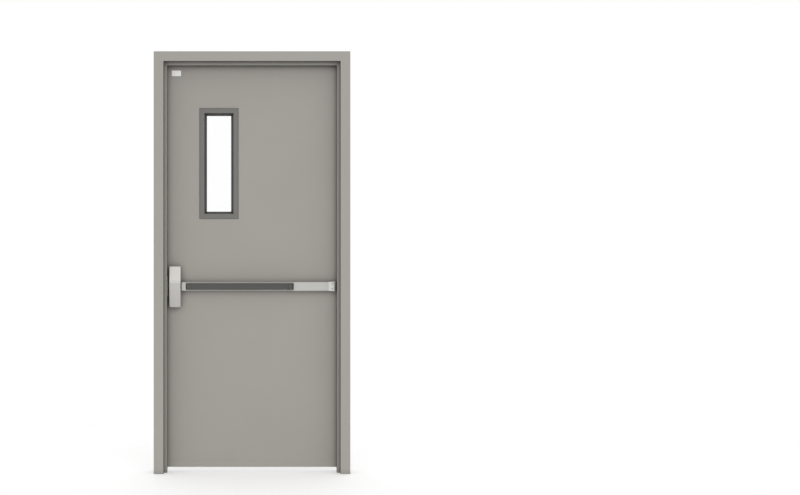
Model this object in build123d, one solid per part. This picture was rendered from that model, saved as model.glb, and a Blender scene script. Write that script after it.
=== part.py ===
from build123d import *
import os

os.makedirs("parts", exist_ok=True)

# A single steel fire door in its pressed-steel double-rabbet frame, with a vision panel and a rim
# exit device on the push side. Millimetres. The pieces are drawn about the doorway: X from its
# middle to the right as seen from the push side, Y from the push-side face of the frame towards
# the pull side, Z up from the floor. save() moves them to the part's own origin, the middle of
# the hinge jamb's foot.

# Doorway and frame
opening_width = 914.4
opening_height = 2133.6
frame_depth = 146.0
face_width = 50.8
stop_height = 15.9
return_lip = 12.7
soffit_width = 47.1
frame_sheet = 1.5
bend_radius = 1.0

# Leaf
leaf_thickness = 44.5
leaf_gap = 5.2
floor_gap = 24.0
skin_sheet = 1.5
lock_edge_bevel = 2.8
edge_seam = 0.6
channel_depth = 22.0

# Butt hinges
hinge_from_floor = 311.0
hinge_from_head = 184.6
hinge_length = 114.3
knuckles = 3
hinge_plate = 3.4
hinge_backset = 6.5
barrel_radius = 7.5
pin_radius = 3.75
pin_clearance = 0.25
pin_offset = 9.0
knuckle_gap = 0.5
reinforcement_plate = 4.8
reinforcement_reach = 24.0

# Vision panel
vision_from_lock = 177.6
vision_from_head = 234.0
vision_width = 203.2
vision_height = 578.0
vision_face = 25.4
vision_slope = 12.7
vision_proud = 5.0
vision_sheet = 1.5
glass_thickness = 5.0
gasket_thickness = 1.75
gasket_width = 5.0
glass_cover = 7.0

# Rim exit device
device_z = 968.5
device_projection = 62.0
case_from_lock = 21.7
case_width = 59.0
case_bottom = 859.5
case_height = 214.0
case_ridge = 128.5
case_knee = 94.5
case_foot_depth = 46.0
case_knee_depth = 60.0
case_top_depth = 42.0
case_corner = 4.0
case_wall = 2.0
collar_depth = 36.0
collar_height = 38.0
collar_length = 3.6
neck_length = 28.0
rail_height = 45.0
rail_depth = 45.0
rail_wall = 2.2
lip_width = 5.4
cap_from_hinge = 15.8
cap_length = 40.0
cover_length = 180.0
cap_flare = 3.0
cap_rim = 1.5
cap_wall = 2.0
cap_slope = 9.0
cap_drop = 8.0
cover_wall = 1.2
cover_front = 2.2
cover_depth = 18.0
pad_clearance = 5.1
pad_flange = 3.0
pad_wall = 2.5
pad_depth = 30.5
carrier_back = 26.0
carrier_sheet = 2.0
carrier_end = 6.0
guide_post_radius = 4.0
guide_post_length = 28.0
bolt_height = 27.0
bolt_reach = 35.5
bolt_width = 22.0
bolt_throw = 4.7
bolt_nose = 3.3
bolt_flat = 5.0
bolt_length = 48.0
bolt_guide = 30.0
slide_fit = 0.5
base_sheet = 3.0
bracket_height = 30.0
bracket_sheet = 3.0
bracket_tongue = 24.0
bolt_cap_radius = 9.0
bolt_cap_rise = 3.0
case_bolt_inset = 24.0
end_bolt_spacing = 18.0

# Rim strike on the soffit of the strike jamb
strike_height = 104.0
strike_sheet = 1.2
strike_rim = 4.0
strike_window = 40.0
strike_backing = 3.0
strike_backing_reach = 30.0

# Feet and anchors
clip_thickness = 3.0
clip_inset = 20.0
clip_flange = 45.0
clip_edge_gap = 4.0
clip_hole_radius = 5.5
clip_hole_spacing = 60.0
anchor_from_head = 84.0
anchor_height = 50.0
anchor_web_gap = 3.0
anchor_leg_gap = 10.0

# Values worked out from those above
half_opening = opening_width / 2
half_frame = half_opening + face_width
frame_top = opening_height + face_width
soffit_x = half_opening - stop_height
door_rabbet = leaf_thickness + leaf_gap
stop_back = frame_depth - door_rabbet
push_rabbet = stop_back - soffit_width
leaf_front = frame_depth - leaf_thickness
leaf_middle = frame_depth - leaf_thickness / 2
leaf_half = half_opening - leaf_gap
leaf_top = opening_height - leaf_gap
pivot_x = half_opening - leaf_gap / 2
pivot_y = frame_depth + pin_offset
plate_front = leaf_front + hinge_backset
hinge_low = hinge_from_floor
hinge_high = opening_height - hinge_from_head
hinge_heights = {"bottom": hinge_low, "middle": (hinge_low + hinge_high) / 2, "top": hinge_high}
anchor_low = (hinge_low + hinge_heights["middle"]) / 2
anchor_middle = (hinge_high + hinge_heights["middle"]) / 2
anchor_heights = (anchor_low, anchor_middle, opening_height - anchor_from_head)
vision_x = vision_from_lock + vision_width / 2 - leaf_half
vision_z = opening_height - vision_from_head - vision_height / 2
bolt_front = leaf_front - bolt_reach
bolt_back = bolt_front + bolt_width
strike_front = bolt_front - 2 * strike_rim
strike_back = bolt_back + strike_rim
origin = (half_opening + face_width / 2, frame_depth / 2, 0)
case_left = case_from_lock - leaf_half
case_right = case_left + case_width
neck_right = case_right + neck_length
cap_right = leaf_half - cap_from_hinge
rail_right = cap_right - cap_length
pad_right = rail_right - cover_length
bevel = lock_edge_bevel / leaf_thickness


def save(name, shape):
    """Moves a piece from the doorway to the part's origin and writes it."""
    moved = Pos(-origin[0], -origin[1], -origin[2]) * shape
    export_step(moved, f"parts/{name}.step")


def block(x0, x1, y0, y1, z0, z1):
    """Box between two corners."""
    middle = Pos((x0 + x1) / 2, (y0 + y1) / 2, (z0 + z1) / 2)
    return middle * Box(x1 - x0, y1 - y0, z1 - z0)


def across(profile, x0, x1):
    """Extrusion along X of an outline given as (projection from the leaf, height) points."""
    outline = Plane(origin=(x0, leaf_front, 0), x_dir=(0, -1, 0), z_dir=(-1, 0, 0)) * profile
    return extrude(outline, amount=x1 - x0, dir=(1, 0, 0))


def bent_sheet(points, side, sheet, length):
    """Sheet bent along the outline of one face, standing on the floor plane."""
    left = side == Side.LEFT
    radii = []
    for a, b, c in zip(points, points[1:], points[2:]):
        turn = (b[0] - a[0]) * (c[1] - b[1]) - (b[1] - a[1]) * (c[0] - b[0])
        outside = (turn > 0) == left
        radii.append(bend_radius + sheet if outside else bend_radius)
    line = FilletPolyline(*points, radius=radii)
    section = make_face(offset(line, amount=sheet, side=side, closed=True))
    return extrude(section, amount=length)


def mitre_wedge(above):
    """Half space over or under the mitre of the left upper corner of the frame."""
    reach = 120.0
    margin = 5.0
    corner = (-half_frame - margin, frame_top + margin)
    low = (corner[0] + reach, corner[1] - reach)
    third = (low[0], corner[1]) if above else (corner[0], low[1])
    wedge = Plane.XZ * make_face(Polyline(corner, low, third, close=True))
    return extrude(wedge, amount=frame_depth + 2 * margin, dir=(0, 1, 0)).moved(Pos(0, -margin, 0))


def frame_section(length):
    """Pressed double-rabbet section, from its outer edge along +X, extruded up."""
    rabbet = face_width
    stop = face_width + stop_height
    outline = [
        (0, return_lip),
        (0, 0),
        (rabbet, 0),
        (rabbet, push_rabbet),
        (stop, push_rabbet),
        (stop, stop_back),
        (rabbet, stop_back),
        (rabbet, frame_depth),
        (0, frame_depth),
        (0, frame_depth - return_lip),
    ]
    return bent_sheet(outline, Side.LEFT, frame_sheet, length)


def left_jamb():
    """Jamb as pressed, mitred at its top."""
    return Pos(-half_frame, 0, 0) * frame_section(frame_top) - mitre_wedge(True)


def frame_head():
    """Head member, mitred at both ends."""
    head = Pos(-half_frame, 0, frame_top) * Rot(0, 90, 0) * frame_section(2 * half_frame)
    wedge = mitre_wedge(False)
    return head - wedge - mirror(wedge, about=Plane.YZ)


def hinge_pocket(face_x, inward):
    """Room for one hinge plate let in flush, at each of the three heights."""
    x0, x1 = sorted((face_x, face_x + inward * hinge_plate))
    pockets = []
    for height in hinge_heights.values():
        z0 = height - hinge_length / 2
        z1 = height + hinge_length / 2
        pockets.append(block(x0, x1, plate_front, frame_depth, z0, z1))
    return pockets


def hinge_jamb():
    """Right jamb with its edge cut away for the hinge plates."""
    jamb = mirror(left_jamb(), about=Plane.YZ)
    for pocket in hinge_pocket(half_opening, 1):
        jamb -= pocket
    return jamb


def floor_clip():
    """Angle on the floor inside a jamb: a drilled foot and a flange against the rabbet sheet."""
    inner = half_opening + frame_sheet
    outer = half_frame - clip_edge_gap
    y0 = clip_inset
    y1 = frame_depth - clip_inset
    clip = block(inner, outer, y0, y1, 0, clip_thickness)
    front = block(inner, inner + clip_thickness, y0, push_rabbet - clip_edge_gap, 0, clip_flange)
    back = block(inner, inner + clip_thickness, stop_back + clip_edge_gap, y1, 0, clip_flange)
    clip += front + back
    for side in (-1, 1):
        y = origin[1] + side * clip_hole_spacing / 2
        clip -= Pos(origin[0], y, clip_thickness / 2) * Cylinder(clip_hole_radius, 4 * clip_thickness)
    return clip


def wall_anchors():
    """Straps across the throat of a jamb, each with a leg against both faces."""
    web_x = half_frame - return_lip - anchor_web_gap
    leg_x = half_opening + anchor_leg_gap
    y0 = frame_sheet
    y1 = frame_depth - frame_sheet
    straps = []
    for height in anchor_heights:
        z0 = height - anchor_height / 2
        z1 = height + anchor_height / 2
        strap = block(leg_x, web_x, y0, y1, z0, z1)
        room = block(leg_x, web_x - frame_sheet, y0 + frame_sheet, y1 - frame_sheet, z0, z1)
        straps.append(strap - room)
    return Compound(children=straps)


def hinge_reinforcements():
    """Thick plates behind the rabbet sheet, recessed for the hinge plates."""
    inner = half_opening + frame_sheet
    reach = reinforcement_reach
    plates = []
    for height, pocket in zip(hinge_heights.values(), hinge_pocket(half_opening, 1)):
        z0 = height - hinge_length / 2 - reach
        z1 = height + hinge_length / 2 + reach
        y0 = stop_back + 5.0
        y1 = frame_depth - frame_sheet - bend_radius
        plates.append(block(inner, inner + reinforcement_plate, y0, y1, z0, z1) - pocket)
    return Compound(children=plates)


def strike_reinforcement():
    """Plate behind the soffit that takes the screws of the strike."""
    x1 = -soffit_x - frame_sheet
    x0 = x1 - strike_backing
    half = strike_height / 2 + strike_backing_reach
    y0 = push_rabbet + strike_backing
    y1 = stop_back - strike_backing
    return block(x0, x1, y0, y1, device_z - half, device_z + half)


def strike_plate():
    """Rim strike on the soffit, a thin plate with rounded corners and a window for the bolt."""
    depth = strike_back - strike_front
    middle = (strike_front + strike_back) / 2
    plane = Plane(origin=(-soffit_x, middle, device_z), x_dir=(0, 1, 0), z_dir=(1, 0, 0))
    outline = RectangleRounded(depth, strike_height, strike_rim)
    window = RectangleRounded(depth - 2 * strike_rim, strike_window, strike_rim / 2)
    return extrude(plane * (outline - window), amount=strike_sheet)


def knuckle_spans(height):
    """Knuckles from the bottom of a hinge to its top, as height ranges."""
    pitch = hinge_length / knuckles
    start = height - hinge_length / 2
    spans = []
    for number in range(knuckles):
        z0 = start + number * pitch + (knuckle_gap / 2 if number else 0)
        z1 = start + (number + 1) * pitch - (knuckle_gap / 2 if number < knuckles - 1 else 0)
        spans.append((z0, z1))
    return spans


def hinge_half(height, face_x, inward, numbers):
    """Hinge plate let into an edge, with its own knuckles about the pin."""
    x0, x1 = sorted((face_x, face_x + inward * hinge_plate))
    z0 = height - hinge_length / 2
    plate = block(x0, x1, plate_front, frame_depth, z0, z0 + hinge_length)
    spans = knuckle_spans(height)
    for number in numbers:
        low, high = spans[number]
        tongue = block(x0, x1, frame_depth - 2.0, pivot_y, low, high)
        barrel = Pos(pivot_x, pivot_y, (low + high) / 2) * Cylinder(barrel_radius, high - low)
        plate += tongue + barrel
    hole = Cylinder(pin_radius + pin_clearance, hinge_length + 10)
    return plate - Pos(pivot_x, pivot_y, height) * hole


def hinge_pin(height):
    """Pin with a flat button below and a bevelled head above."""
    low = height - hinge_length / 2
    high = height + hinge_length / 2
    button = barrel_radius - 0.5
    play = 0.3
    outline = [
        (0, low - 3.5),
        (button, low - 3.5),
        (button, low - play),
        (pin_radius, low - play),
        (pin_radius, high + play),
        (button, high + play),
        (button, high + 2.0),
        (pin_radius + 1.0, high + 4.5),
        (0, high + 4.5),
    ]
    half = Plane.XZ * make_face(Polyline(*outline, close=True))
    return Pos(pivot_x, pivot_y, 0) * revolve(half, axis=Axis.Z)


def lock_edge(y):
    """X of the bevelled lock edge of the leaf at a depth."""
    return -leaf_half + (frame_depth - y) * bevel


def vision_cutout(depth_start, depth_end):
    """Window cut through a layer of the leaf."""
    half_w = vision_width / 2 - vision_face
    half_h = vision_height / 2 - vision_face
    return block(
        vision_x - half_w, vision_x + half_w, depth_start, depth_end, vision_z - half_h, vision_z + half_h
    )


def leaf_skin(face_y, side):
    """Formed skin of one side, turned round both edges to the seam in the middle of each."""
    seam_y = leaf_middle - edge_seam / 2 if face_y < leaf_middle else leaf_middle + edge_seam / 2
    outline = [
        (lock_edge(seam_y), seam_y),
        (lock_edge(face_y), face_y),
        (leaf_half, face_y),
        (leaf_half, seam_y),
    ]
    skin = Pos(0, 0, floor_gap) * bent_sheet(outline, side, skin_sheet, leaf_top - floor_gap)
    for pocket in hinge_pocket(leaf_half, -1):
        skin -= pocket
    return skin - vision_cutout(leaf_front, frame_depth)


def inner_outline():
    """Plan of the room between the skins, as the core and the end channels fill it."""
    front = leaf_front + skin_sheet
    back = frame_depth - skin_sheet
    right = leaf_half - skin_sheet
    left_back = lock_edge(back) + skin_sheet + 0.2
    left_front = lock_edge(front) + skin_sheet + 0.2
    return Polyline((left_front, front), (right, front), (right, back), (left_back, back), close=True)


def leaf_hinge_reinforcements():
    """Thick plates inside the hinge edge of the leaf."""
    x1 = leaf_half - hinge_plate
    x0 = x1 - reinforcement_plate
    reach = reinforcement_reach
    plates = []
    for height in hinge_heights.values():
        z0 = height - hinge_length / 2 - reach
        z1 = height + hinge_length / 2 + reach
        y0 = leaf_front + skin_sheet + bend_radius
        y1 = frame_depth - skin_sheet - bend_radius
        plates.append(block(x0, x1, y0, y1, z0, z1))
    return Compound(children=plates)


def leaf_core():
    """Mineral core between the end channels, with the window and the hinge plates cut out."""
    plan = make_face(inner_outline())
    bottom = floor_gap + channel_depth
    core = Pos(0, 0, bottom) * extrude(plan, amount=leaf_top - channel_depth - bottom)
    core = chamfer(core.edges().filter_by(Axis.Z), bend_radius)
    x1 = leaf_half
    x0 = leaf_half - hinge_plate - reinforcement_plate
    reach = reinforcement_reach
    for height in hinge_heights.values():
        z0 = height - hinge_length / 2 - reach
        z1 = height + hinge_length / 2 + reach
        core -= block(x0, x1, leaf_front, frame_depth, z0, z1)
    return core - vision_cutout(leaf_front, frame_depth)


def end_channel(web_z, direction):
    """Channel that closes the leaf at one end, its legs pointing out."""
    plan = make_face(inner_outline())
    rim = channel_depth - 1.0
    z0 = web_z if direction > 0 else web_z - rim
    outer = Pos(0, 0, z0) * extrude(plan, amount=rim)
    outer = chamfer(outer.edges().filter_by(Axis.Z), bend_radius)
    y0 = leaf_front + 2 * skin_sheet
    y1 = frame_depth - 2 * skin_sheet
    low = z0 + skin_sheet if direction > 0 else z0
    hollow = block(-half_opening, half_opening, y0, y1, low, low + rim - skin_sheet)
    return outer - hollow


def vision_frame():
    """Mitred glazing frame: an outer bevel, a flat face and a slope down to the glass."""
    inner = vision_face + vision_slope
    foot = -(leaf_thickness - glass_thickness) / 2 + gasket_thickness
    bevel_width = 2.8
    run = vision_slope
    drop = vision_proud - foot
    slant = (run**2 + drop**2) ** 0.5
    back = vision_sheet * slant / drop
    knee = vision_face - vision_sheet * (slant - run) / drop
    outline = [
        (0, 0),
        (0, vision_proud - bevel_width),
        (bevel_width, vision_proud),
        (vision_face, vision_proud),
        (inner, foot),
        (inner - back, foot),
        (knee, vision_proud - vision_sheet),
        (bevel_width + 0.6, vision_proud - vision_sheet),
        (vision_sheet, vision_proud - bevel_width - 0.6),
        (vision_sheet, 0),
    ]
    half_w = vision_width / 2
    half_h = vision_height / 2
    left = vision_x - half_w
    right = vision_x + half_w
    low = vision_z - half_h
    high = vision_z + half_h
    y = leaf_front
    start = (vision_x, y, low)
    path = Polyline(start, (right, y, low), (right, y, high), (left, y, high), (left, y, low), start)
    plane = Plane(origin=start, x_dir=(0, 0, 1), z_dir=(1, 0, 0))
    section = plane * make_face(Polyline(*outline, close=True))
    return sweep(section, path=path, transition=Transition.RIGHT)


def pull_side(shape):
    """Mirror image on the other side of the leaf."""
    return mirror(shape, about=Plane(origin=(0, leaf_middle, 0), x_dir=(1, 0, 0), z_dir=(0, 1, 0)))


def ring(half_w, half_h, width, y0, y1):
    """Flat rectangular ring about the middle of the window."""
    outer = block(vision_x - half_w, vision_x + half_w, y0, y1, vision_z - half_h, vision_z + half_h)
    half_w -= width
    half_h -= width
    return outer - block(vision_x - half_w, vision_x + half_w, y0, y1, vision_z - half_h, vision_z + half_h)


def glazing_gasket():
    """Tape between the foot of the push-side glazing frame and the glass."""
    half_w = vision_width / 2 - vision_face - vision_slope + gasket_width
    half_h = vision_height / 2 - vision_face - vision_slope + gasket_width
    y1 = leaf_middle - glass_thickness / 2
    return ring(half_w, half_h, gasket_width, y1 - gasket_thickness, y1)


def vision_glass():
    """Fire-rated pane held between the two tapes."""
    half_w = vision_width / 2 - vision_face - vision_slope + glass_cover
    half_h = vision_height / 2 - vision_face - vision_slope + glass_cover
    y0 = leaf_middle - glass_thickness / 2
    x0 = vision_x - half_w
    x1 = vision_x + half_w
    return block(x0, x1, y0, y0 + glass_thickness, vision_z - half_h, vision_z + half_h)


def case_outline(inset):
    """Side outline of the latch case: a face leaning out to the ridge, then back to the top."""
    points = [
        (0, 0),
        (case_foot_depth, 0),
        (case_knee_depth, case_knee),
        (device_projection, case_ridge),
        (case_top_depth, case_height),
        (0, case_height),
    ]
    outline = make_face(Polyline(*points, close=True))
    corners = outline.vertices().filter_by(lambda v: v.X > case_corner)
    outline = fillet(corners, case_corner)
    if inset:
        outline = offset(outline, amount=-inset)
    return Pos(0, case_bottom) * outline


def bolt_window(margin):
    """Room of the latch bolt through the side of the case."""
    half = bolt_height / 2 + margin
    x1 = case_left + 2 * case_wall
    y0 = bolt_front - margin
    y1 = bolt_back + margin
    return block(case_left - 2, x1, y0, y1, device_z - half, device_z + half)


def latch_case():
    """Cover of the latch, open to the leaf, to the bolt and to the neck."""
    case = across(case_outline(0), case_left, case_right)
    front_edges = case.edges().filter_by(lambda e: e.center().Y < leaf_front - 1)
    side_edges = front_edges.filter_by(lambda e: abs(e.bounding_box().size.X) < 0.01)
    case = chamfer(side_edges, 1.5)
    left = case_left + case_wall
    right = case_right - case_wall
    case -= across(case_outline(case_wall), left, right)
    low = case_bottom + case_wall
    high = case_bottom + case_height - case_wall
    case -= block(left, right, leaf_front - case_top_depth / 4, leaf_front, low, high)
    half = collar_height / 2 - case_wall
    link_front = leaf_front - collar_depth + case_wall
    case -= block(right, case_right, link_front, leaf_front, device_z - half, device_z + half)
    return case - bolt_window(2 * slide_fit)


def latch_base_plate():
    """Plate screwed to the leaf under the case, with two ears that guide the bolt."""
    edge = case_wall + 1.5
    x0 = case_left + edge
    x1 = case_right - edge
    y1 = leaf_front
    y0 = y1 - base_sheet
    plate = block(x0, x1, y0, y1, case_bottom + edge, case_bottom + case_height - edge)
    ear_x0 = x0 + 2.0
    ear_x1 = ear_x0 + bolt_guide
    guide = bolt_height / 2 + slide_fit
    top_ear = block(ear_x0, ear_x1, bolt_front - 4.0, y0, device_z + guide, device_z + guide + base_sheet)
    low_ear = block(ear_x0, ear_x1, bolt_front - 4.0, y0, device_z - guide - base_sheet, device_z - guide)
    return plate + top_ear + low_ear


def latch_bolt():
    """Bolt with a sloped nose that reaches past the side of the case."""
    nose_back = case_left - bolt_throw
    nose_front = nose_back + bolt_nose
    tail = nose_back + bolt_length
    outline = [
        (tail, bolt_front),
        (nose_front, bolt_front),
        (nose_back, bolt_back - bolt_flat),
        (nose_back, bolt_back),
        (tail, bolt_back),
    ]
    plan = make_face(Polyline(*outline, close=True))
    bolt = Pos(0, 0, device_z - bolt_height / 2) * extrude(plan, amount=bolt_height)
    nose_edges = bolt.edges().filter_by(lambda e: e.center().X < nose_front + 0.5)
    return fillet(nose_edges.filter_by(Axis.Z), 1.0)


def trim_outline(height, depth, radius):
    """Solid rail-like outline on the leaf, its two front corners rounded."""
    half = height / 2
    face = make_face(Polyline((0, -half), (depth, -half), (depth, half), (0, half), close=True))
    if radius:
        face = fillet(face.vertices().filter_by(lambda v: v.X > depth - 1), radius)
    return Pos(0, device_z) * face


def rail_neck():
    """Cover between the latch case and the rail, with a smaller collar next to the case."""
    wall = case_wall
    step = case_right + collar_length
    wide = across(trim_outline(rail_height, rail_depth, 3.0), step, neck_right)
    narrow = across(trim_outline(collar_height, collar_depth, 2.0), case_right, neck_right)
    room = across(trim_outline(collar_height - 2 * wall, collar_depth - wall, 0), case_right, neck_right)
    room += across(trim_outline(rail_height - 2 * wall, rail_depth - wall, 0), step + wall, neck_right)
    return wide + narrow - room


def rail():
    """Extruded rail: a back on the leaf, two sides and a lip along both front edges."""
    half = rail_height / 2
    outer = make_face(Polyline((0, -half), (rail_depth, -half), (rail_depth, half), (0, half), close=True))
    outer = fillet(outer.vertices().filter_by(lambda v: v.X > 1), 2.0)
    inside = half - rail_wall
    slot = half - lip_width
    room = Pos(rail_depth / 2, 0) * Rectangle(rail_depth - 2 * rail_wall, 2 * inside)
    mouth = Pos(rail_depth - rail_wall / 2, 0) * Rectangle(2 * rail_wall, 2 * slot)
    return across(Pos(0, device_z) * (outer - room - mouth), neck_right, rail_right)


def rail_cover():
    """Cover snapped over the rail between the pad and the end cap."""
    half = rail_height / 2 + cover_wall
    depth = rail_depth + cover_front
    start = depth - cover_depth
    face = make_face(Polyline((start, -half), (depth, -half), (depth, half), (start, half), close=True))
    face = fillet(face.vertices().filter_by(lambda v: v.X > depth - 1), 3.0)
    room = Pos((start + rail_depth) / 2, 0) * Rectangle(rail_depth - start, rail_height)
    return across(Pos(0, device_z) * (face - room), pad_right, rail_right)


def cap_body(inset):
    """Body of the end cap: its side outline crossed with its flared front outline."""
    half = rail_height / 2 + cover_wall - inset
    depth = rail_depth + cover_front - inset
    end = cap_right - inset
    knee = cap_right - cap_slope
    flare = half + cap_flare
    plan = Polyline((rail_right, 0), (rail_right, depth), (knee, depth), (end, depth - cap_drop), (end, 0), close=True)
    side = Plane(origin=(0, leaf_front, device_z + flare), x_dir=(1, 0, 0), z_dir=(0, 0, -1)) * make_face(plan)
    body = extrude(side, amount=2 * flare)
    front = Polyline((rail_right, -half), (end, -flare), (end, flare), (rail_right, half), close=True)
    tall = Plane(origin=(0, leaf_front, device_z), x_dir=(1, 0, 0), z_dir=(0, -1, 0)) * make_face(front)
    return body & extrude(tall, amount=depth)


def end_cap():
    """Cap over the hinge-side end of the rail, flared and sloping down at its end."""
    outer = cap_body(0)
    rims = outer.edges().filter_by(lambda e: e.center().Y < leaf_front - 1 and e.center().X > rail_right + 1)
    return fillet(rims, cap_rim) - cap_body(cap_wall)


def end_bracket():
    """Bracket screwed to the leaf that holds the end of the rail, inside the end cap."""
    low = device_z - bracket_height / 2
    high = device_z + bracket_height / 2
    inside = leaf_front - rail_wall
    start = rail_right + slide_fit
    riser_end = start + bracket_sheet
    foot = block(start, cap_right - 3 * cap_wall, leaf_front - bracket_sheet, leaf_front, low, high)
    riser = block(start, riser_end, inside - bracket_sheet, leaf_front, low, high)
    tongue = block(rail_right - bracket_tongue, riser_end, inside - bracket_sheet, inside, low, high)
    return foot + riser + tongue


def pad_guides():
    """X of the guide posts, at a fifth of the pad from its ends."""
    length = pad_right - neck_right
    return (neck_right + length / 5, pad_right - length / 5)


def round_bar(x, start, length, radius):
    """Bar along the depth of the door at the height of the device, from a projection."""
    return Pos(x, leaf_front - start - length / 2, device_z) * Rot(90, 0, 0) * Cylinder(radius, length)


def pad_guide_posts():
    """Posts on the back of the rail that guide the carrier of the pad."""
    posts = [round_bar(x, rail_wall, guide_post_length, guide_post_radius) for x in pad_guides()]
    return Compound(children=posts)


def push_pad():
    """Touch pad: a broad face that stands over the lips and a narrower body between them."""
    mouth = rail_height / 2 - lip_width
    broad = mouth - slide_fit
    narrow = mouth - pad_clearance
    front = device_projection
    under = front - pad_flange
    back = front - pad_depth
    face = make_face(Polyline((under, -broad), (front, -broad), (front, broad), (under, broad), close=True))
    face = fillet(face.vertices().filter_by(lambda v: v.X > under + 1), pad_flange * 0.7)
    body = Pos((back + under) / 2, 0) * Rectangle(under - back, 2 * narrow)
    room = Pos((back + under) / 2, 0) * Rectangle(under - back, 2 * (narrow - pad_wall))
    section = Pos(0, device_z) * (face + body - room)
    return across(section, neck_right + pad_clearance, pad_right - pad_clearance)


def pad_carrier():
    """Steel channel inside the pad, with a web that slides on the guide posts."""
    half = rail_height / 2 - lip_width - pad_clearance - pad_wall
    front = device_projection - pad_flange
    depth = front - carrier_back
    outer = Pos(carrier_back + depth / 2, 0) * Rectangle(depth, 2 * half)
    web = carrier_back + carrier_sheet
    room = Pos((web + front) / 2, 0) * Rectangle(front - web, 2 * (half - carrier_sheet))
    start = neck_right + pad_clearance + carrier_end
    stop = pad_right - pad_clearance - carrier_end
    carrier = across(Pos(0, device_z) * (outer - room), start, stop)
    for x in pad_guides():
        carrier -= round_bar(x, carrier_back, carrier_sheet, guide_post_radius + slide_fit)
    return carrier


def through_bolt_caps():
    """Low round caps on the pull side where the through-bolts of the device end."""
    places = []
    for z in (case_bottom + case_bolt_inset, case_bottom + case_height - case_bolt_inset):
        places.append(((case_left + case_right) / 2, z))
    for z in (device_z - end_bolt_spacing / 2, device_z + end_bolt_spacing / 2):
        places.append(((rail_right + cap_right) / 2, z))
    turned = Rot(-90, 0, 0) * Cylinder(bolt_cap_radius, bolt_cap_rise)
    caps = [Pos(x, frame_depth + bolt_cap_rise / 2, z) * turned for x, z in places]
    return Compound(children=caps)


# Frame
save("hinge_jamb", hinge_jamb())
save("strike_jamb", left_jamb())
save("frame_head", frame_head())
save("hinge_jamb_floor_clip", floor_clip())
save("strike_jamb_floor_clip", mirror(floor_clip(), about=Plane.YZ))
save("hinge_jamb_wall_anchors", wall_anchors())
save("strike_jamb_wall_anchors", mirror(wall_anchors(), about=Plane.YZ))
save("hinge_reinforcements", hinge_reinforcements())
save("strike_reinforcement", strike_reinforcement())
save("strike_plate", strike_plate())

# Hinges
for place, height in hinge_heights.items():
    save(f"hinge_frame_plate_{place}", hinge_half(height, half_opening, 1, range(0, knuckles, 2)))
    save(f"hinge_leaf_plate_{place}", hinge_half(height, leaf_half, -1, range(1, knuckles, 2)))
    save(f"hinge_pin_{place}", hinge_pin(height))

# Leaf
save("leaf_push_skin", leaf_skin(leaf_front, Side.LEFT))
save("leaf_pull_skin", leaf_skin(frame_depth, Side.RIGHT))
save("leaf_core", leaf_core())
save("leaf_top_channel", end_channel(leaf_top - channel_depth, 1))
save("leaf_bottom_channel", end_channel(floor_gap + channel_depth, -1))
save("leaf_hinge_reinforcements", leaf_hinge_reinforcements())

# Vision panel
save("vision_frame_push", vision_frame())
save("vision_frame_pull", pull_side(vision_frame()))
save("glazing_gasket_push", glazing_gasket())
save("glazing_gasket_pull", pull_side(glazing_gasket()))
save("vision_glass", vision_glass())

# Exit device
save("latch_case", latch_case())
save("latch_base_plate", latch_base_plate())
save("latch_bolt", latch_bolt())
save("rail_neck", rail_neck())
save("rail", rail())
save("rail_cover", rail_cover())
save("end_cap", end_cap())
save("end_bracket", end_bracket())
save("pad_guide_posts", pad_guide_posts())
save("push_pad", push_pad())
save("pad_carrier", pad_carrier())
save("through_bolt_caps", through_bolt_caps())
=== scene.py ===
import math
import bmesh
import bpy
import numpy as np
from bpy.props import FloatProperty, FloatVectorProperty, PointerProperty
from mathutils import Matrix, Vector


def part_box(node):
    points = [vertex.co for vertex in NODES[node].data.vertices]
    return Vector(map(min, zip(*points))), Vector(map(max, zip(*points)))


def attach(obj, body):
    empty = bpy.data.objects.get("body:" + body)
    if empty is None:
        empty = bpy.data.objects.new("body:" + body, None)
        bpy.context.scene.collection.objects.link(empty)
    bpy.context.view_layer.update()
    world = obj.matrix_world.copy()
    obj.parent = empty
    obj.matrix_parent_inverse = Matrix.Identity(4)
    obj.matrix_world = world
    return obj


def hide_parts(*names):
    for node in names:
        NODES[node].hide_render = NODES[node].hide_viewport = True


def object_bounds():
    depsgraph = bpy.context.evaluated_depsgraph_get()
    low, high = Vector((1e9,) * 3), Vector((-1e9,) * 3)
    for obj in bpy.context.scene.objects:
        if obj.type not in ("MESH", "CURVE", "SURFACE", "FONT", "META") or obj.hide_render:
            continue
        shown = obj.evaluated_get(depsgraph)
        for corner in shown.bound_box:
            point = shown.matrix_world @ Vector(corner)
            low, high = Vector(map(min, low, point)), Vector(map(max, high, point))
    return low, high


bl_info = {
    "name": "Steel fire door finishes",
    "version": (1, 0, 0),
    "blender": (4, 5, 0),
    "location": "3D Viewport > Sidebar > Fire door",
    "description": "Paints a steel fire door and adds its screws, caps, trim and blank label",
    "category": "Object",
}

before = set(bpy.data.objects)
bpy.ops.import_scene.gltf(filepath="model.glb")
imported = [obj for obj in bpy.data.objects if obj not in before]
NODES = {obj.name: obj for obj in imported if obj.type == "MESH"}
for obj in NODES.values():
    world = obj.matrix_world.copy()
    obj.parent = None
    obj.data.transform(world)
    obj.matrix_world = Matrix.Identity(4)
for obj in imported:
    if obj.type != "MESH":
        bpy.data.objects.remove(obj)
cad_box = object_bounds()
PANEL_TAB = "Fire door"
FRAME = ("hinge_jamb", "strike_jamb", "frame_head")
HINGES = ("bottom", "middle", "top")
# Screws of a hinge plate: share of its height, share of its width
HINGE_SCREWS = ((0.12, 0.36), (0.37, 0.66), (0.63, 0.66), (0.88, 0.36))
VISION_SCREW_ROWS = 4
WHITE = (1.0, 1.0, 1.0)


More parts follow.
